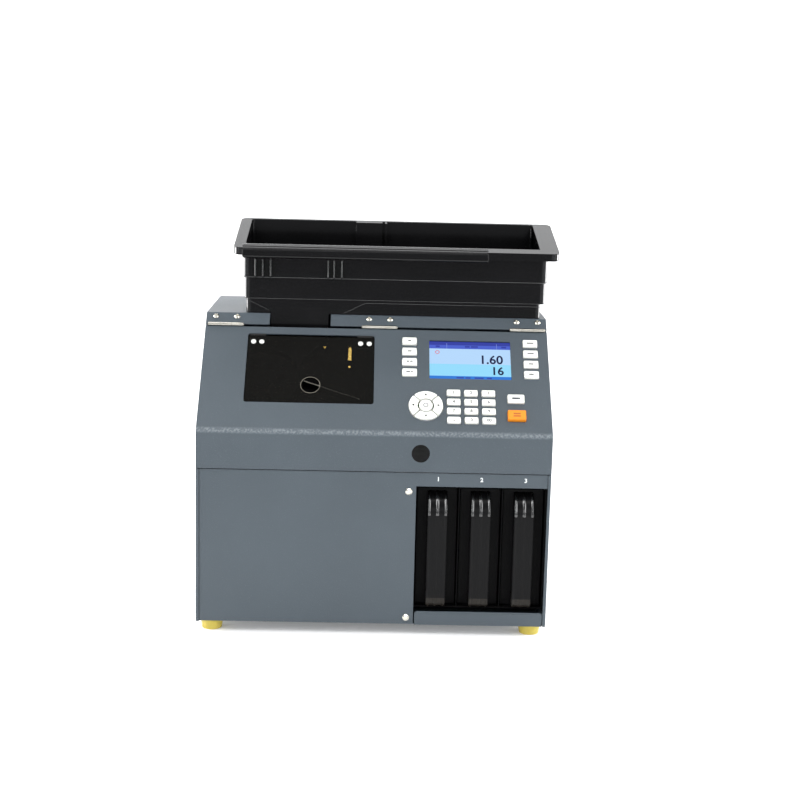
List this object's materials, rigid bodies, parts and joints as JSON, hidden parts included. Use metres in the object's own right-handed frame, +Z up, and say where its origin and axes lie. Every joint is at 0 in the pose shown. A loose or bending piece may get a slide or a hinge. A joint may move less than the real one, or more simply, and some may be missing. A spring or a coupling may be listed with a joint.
{
  "type": "coin sorting machine",
  "caption": "Grey sheet-metal coin sorter with a hinged sloping front cover, black coin hopper, keypad, colour display and pull-out coin drawers.",
  "frame": {"origin": "on the table, under the middle of the outline's box", "axes": "+X to the right as seen from the front, +Y to the back, +Z up"},
  "size_m": [0.412, 0.283, 0.4568],
  "materials": {
    "case_paint": "fine-textured grey powder coat",
    "bright_screw": "bright zinc",
    "foot_polyurethane": "translucent amber polyurethane",
    "hopper_plastic": "glossy black moulding",
    "hinge_steel": "nickel-plated",
    "deck_plastic": "satin black",
    "rail_steel": "polished strip",
    "motor_case": "die cast",
    "bay_plastic": "satin black",
    "circuit_board": "green solder mask",
    "supply_case": "plain sheet",
    "inlet_plastic": "moulded black",
    "display_glass": "lit liquid-crystal panel",
    "smoked_acrylic": "dark smoked acrylic",
    "white_screw": "white-headed",
    "brass": "polished",
    "disc_plastic": "wear-resistant black",
    "drawer_plastic": "glossy black moulding",
    "key_white": "off-white moulding",
    "key_orange": "orange moulding",
    "black_hinge": "blackened"
  },
  "bodies": {
    "case": {"base_plate": "case_paint", "left_side_panel": "case_paint", "right_side_panel": "case_paint", "rear_panel": "case_paint", "top_cover": "case_paint", "front_panel": "case_paint", "housing_screws": "bright_screw", "feet": "foot_polyurethane", "hopper": "hopper_plastic", "hinge_fixed_leaves": "hinge_steel", "hinge_pins": "hinge_steel", "track_deck": "deck_plastic", "coin_rail": "rail_steel", "disc_motor": "motor_case", "sensor_head": "deck_plastic", "drawer_bay": "bay_plastic", "main_board": "circuit_board", "power_supply": "supply_case", "power_inlet": "inlet_plastic"},
    "cover": {"front_cover": "case_paint", "hinge_cover_leaves": "hinge_steel", "display_module": "display_glass", "keypad_board": "circuit_board", "window_hinges": "black_hinge"},
    "window": {"window_flap": "smoked_acrylic", "window_hinge_leaves": "black_hinge", "window_screws": "white_screw", "window_rivet_strip": "brass"},
    "disc": {"feed_disc": "disc_plastic"},
    "switch": {"power_switch": "inlet_plastic"},
    "drawer_1": {"coin_drawer_1": "drawer_plastic"},
    "drawer_2": {"coin_drawer_2": "drawer_plastic"},
    "drawer_3": {"coin_drawer_3": "drawer_plastic"},
    "key_f1_body": {"key_f1": "key_white"},
    "key_f2_body": {"key_f2": "key_white"},
    "key_f3_body": {"key_f3": "key_white"},
    "key_f4_body": {"key_f4": "key_white"},
    "key_f5_body": {"key_f5": "key_white"},
    "key_f6_body": {"key_f6": "key_white"},
    "key_f7_body": {"key_f7": "key_white"},
    "key_f8_body": {"key_f8": "key_white"},
    "key_num_1_body": {"key_num_1": "key_white"},
    "key_num_2_body": {"key_num_2": "key_white"},
    "key_num_3_body": {"key_num_3": "key_white"},
    "key_num_4_body": {"key_num_4": "key_white"},
    "key_num_5_body": {"key_num_5": "key_white"},
    "key_num_6_body": {"key_num_6": "key_white"},
    "key_num_7_body": {"key_num_7": "key_white"},
    "key_num_8_body": {"key_num_8": "key_white"},
    "key_num_9_body": {"key_num_9": "key_white"},
    "key_num_dot_body": {"key_num_dot": "key_white"},
    "key_num_0_body": {"key_num_0": "key_white"},
    "key_num_double_zero_body": {"key_num_double_zero": "key_white"},
    "key_nav_up_body": {"key_nav_up": "key_white"},
    "key_nav_right_body": {"key_nav_right": "key_white"},
    "key_nav_down_body": {"key_nav_down": "key_white"},
    "key_nav_left_body": {"key_nav_left": "key_white"},
    "key_ok_body": {"key_ok": "key_white"},
    "key_clear_body": {"key_clear": "key_white"},
    "key_start_body": {"key_start": "key_orange"}
  },
  "joints": [
    {"name": "cover_hinge", "type": "hinge", "parent": "case", "child": "cover", "pos_m": [-0.006, -0.03742, 0.34051], "axis": [-1, 0, 0], "range_deg": [0, 65]},
    {"name": "window_hinge", "type": "hinge", "parent": "cover", "child": "window", "pos_m": [-0.0815, -0.04548, 0.32991], "axis": [-1, 0, 0], "range_deg": [0, 65]},
    {"name": "disc_spin", "type": "hinge", "parent": "case", "child": "disc", "pos_m": [-0.14, -0.0458, 0.27358], "axis": [0, -0.7071, 0.7071], "continuous": true},
    {"name": "switch_rock", "type": "hinge", "parent": "case", "child": "switch", "pos_m": [-0.156, 0.13745, 0.0905], "axis": [-1, 0, 0], "range_deg": [0, 14]},
    {"name": "drawer_1_slide", "type": "slide", "parent": "case", "child": "drawer_1", "axis": [0, -1, 0], "range_m": [0, 0.15]},
    {"name": "drawer_2_slide", "type": "slide", "parent": "case", "child": "drawer_2", "axis": [0, -1, 0], "range_m": [0, 0.15]},
    {"name": "drawer_3_slide", "type": "slide", "parent": "case", "child": "drawer_3", "axis": [0, -1, 0], "range_m": [0, 0.15]},
    {"name": "key_f1_press", "type": "slide", "parent": "cover", "child": "key_f1_body", "axis": [0, 0.7071, -0.7071], "range_m": [0, 0.001], "stiffness_N_per_m": 300, "springref_m": -0.001},
    {"name": "key_f2_press", "type": "slide", "parent": "cover", "child": "key_f2_body", "axis": [0, 0.7071, -0.7071], "range_m": [0, 0.001], "stiffness_N_per_m": 300, "springref_m": -0.001},
    {"name": "key_f3_press", "type": "slide", "parent": "cover", "child": "key_f3_body", "axis": [0, 0.7071, -0.7071], "range_m": [0, 0.001], "stiffness_N_per_m": 300, "springref_m": -0.001},
    {"name": "key_f4_press", "type": "slide", "parent": "cover", "child": "key_f4_body", "axis": [0, 0.7071, -0.7071], "range_m": [0, 0.001], "stiffness_N_per_m": 300, "springref_m": -0.001},
    {"name": "key_f5_press", "type": "slide", "parent": "cover", "child": "key_f5_body", "axis": [0, 0.7071, -0.7071], "range_m": [0, 0.001], "stiffness_N_per_m": 300, "springref_m": -0.001},
    {"name": "key_f6_press", "type": "slide", "parent": "cover", "child": "key_f6_body", "axis": [0, 0.7071, -0.7071], "range_m": [0, 0.001], "stiffness_N_per_m": 300, "springref_m": -0.001},
    {"name": "key_f7_press", "type": "slide", "parent": "cover", "child": "key_f7_body", "axis": [0, 0.7071, -0.7071], "range_m": [0, 0.001], "stiffness_N_per_m": 300, "springref_m": -0.001},
    {"name": "key_f8_press", "type": "slide", "parent": "cover", "child": "key_f8_body", "axis": [0, 0.7071, -0.7071], "range_m": [0, 0.001], "stiffness_N_per_m": 300, "springref_m": -0.001},
    {"name": "key_num_1_press", "type": "slide", "parent": "cover", "child": "key_num_1_body", "axis": [0, 0.7071, -0.7071], "range_m": [0, 0.001], "stiffness_N_per_m": 300, "springref_m": -0.001},
    {"name": "key_num_2_press", "type": "slide", "parent": "cover", "child": "key_num_2_body", "axis": [0, 0.7071, -0.7071], "range_m": [0, 0.001], "stiffness_N_per_m": 300, "springref_m": -0.001},
    {"name": "key_num_3_press", "type": "slide", "parent": "cover", "child": "key_num_3_body", "axis": [0, 0.7071, -0.7071], "range_m": [0, 0.001], "stiffness_N_per_m": 300, "springref_m": -0.001},
    {"name": "key_num_4_press", "type": "slide", "parent": "cover", "child": "key_num_4_body", "axis": [0, 0.7071, -0.7071], "range_m": [0, 0.001], "stiffness_N_per_m": 300, "springref_m": -0.001},
    {"name": "key_num_5_press", "type": "slide", "parent": "cover", "child": "key_num_5_body", "axis": [0, 0.7071, -0.7071], "range_m": [0, 0.001], "stiffness_N_per_m": 300, "springref_m": -0.001},
    {"name": "key_num_6_press", "type": "slide", "parent": "cover", "child": "key_num_6_body", "axis": [0, 0.7071, -0.7071], "range_m": [0, 0.001], "stiffness_N_per_m": 300, "springref_m": -0.001},
    {"name": "key_num_7_press", "type": "slide", "parent": "cover", "child": "key_num_7_body", "axis": [0, 0.7071, -0.7071], "range_m": [0, 0.001], "stiffness_N_per_m": 300, "springref_m": -0.001},
    {"name": "key_num_8_press", "type": "slide", "parent": "cover", "child": "key_num_8_body", "axis": [0, 0.7071, -0.7071], "range_m": [0, 0.001], "stiffness_N_per_m": 300, "springref_m": -0.001},
    {"name": "key_num_9_press", "type": "slide", "parent": "cover", "child": "key_num_9_body", "axis": [0, 0.7071, -0.7071], "range_m": [0, 0.001], "stiffness_N_per_m": 300, "springref_m": -0.001},
    {"name": "key_num_dot_press", "type": "slide", "parent": "cover", "child": "key_num_dot_body", "axis": [0, 0.7071, -0.7071], "range_m": [0, 0.001], "stiffness_N_per_m": 300, "springref_m": -0.001},
    {"name": "key_num_0_press", "type": "slide", "parent": "cover", "child": "key_num_0_body", "axis": [0, 0.7071, -0.7071], "range_m": [0, 0.001], "stiffness_N_per_m": 300, "springref_m": -0.001},
    {"name": "key_num_double_zero_press", "type": "slide", "parent": "cover", "child": "key_num_double_zero_body", "axis": [0, 0.7071, -0.7071], "range_m": [0, 0.001], "stiffness_N_per_m": 300, "springref_m": -0.001},
    {"name": "key_nav_up_press", "type": "slide", "parent": "cover", "child": "key_nav_up_body", "axis": [0, 0.7071, -0.7071], "range_m": [0, 0.001], "stiffness_N_per_m": 300, "springref_m": -0.001},
    {"name": "key_nav_right_press", "type": "slide", "parent": "cover", "child": "key_nav_right_body", "axis": [0, 0.7071, -0.7071], "range_m": [0, 0.001], "stiffness_N_per_m": 300, "springref_m": -0.001},
    {"name": "key_nav_down_press", "type": "slide", "parent": "cover", "child": "key_nav_down_body", "axis": [0, 0.7071, -0.7071], "range_m": [0, 0.001], "stiffness_N_per_m": 300, "springref_m": -0.001},
    {"name": "key_nav_left_press", "type": "slide", "parent": "cover", "child": "key_nav_left_body", "axis": [0, 0.7071, -0.7071], "range_m": [0, 0.001], "stiffness_N_per_m": 300, "springref_m": -0.001},
    {"name": "key_ok_press", "type": "slide", "parent": "cover", "child": "key_ok_body", "axis": [0, 0.7071, -0.7071], "range_m": [0, 0.001], "stiffness_N_per_m": 300, "springref_m": -0.001},
    {"name": "key_clear_press", "type": "slide", "parent": "cover", "child": "key_clear_body", "axis": [0, 0.7071, -0.7071], "range_m": [0, 0.001], "stiffness_N_per_m": 300, "springref_m": -0.001},
    {"name": "key_start_press", "type": "slide", "parent": "cover", "child": "key_start_body", "axis": [0, 0.7071, -0.7071], "range_m": [0, 0.001], "stiffness_N_per_m": 300, "springref_m": -0.001}
  ]
}
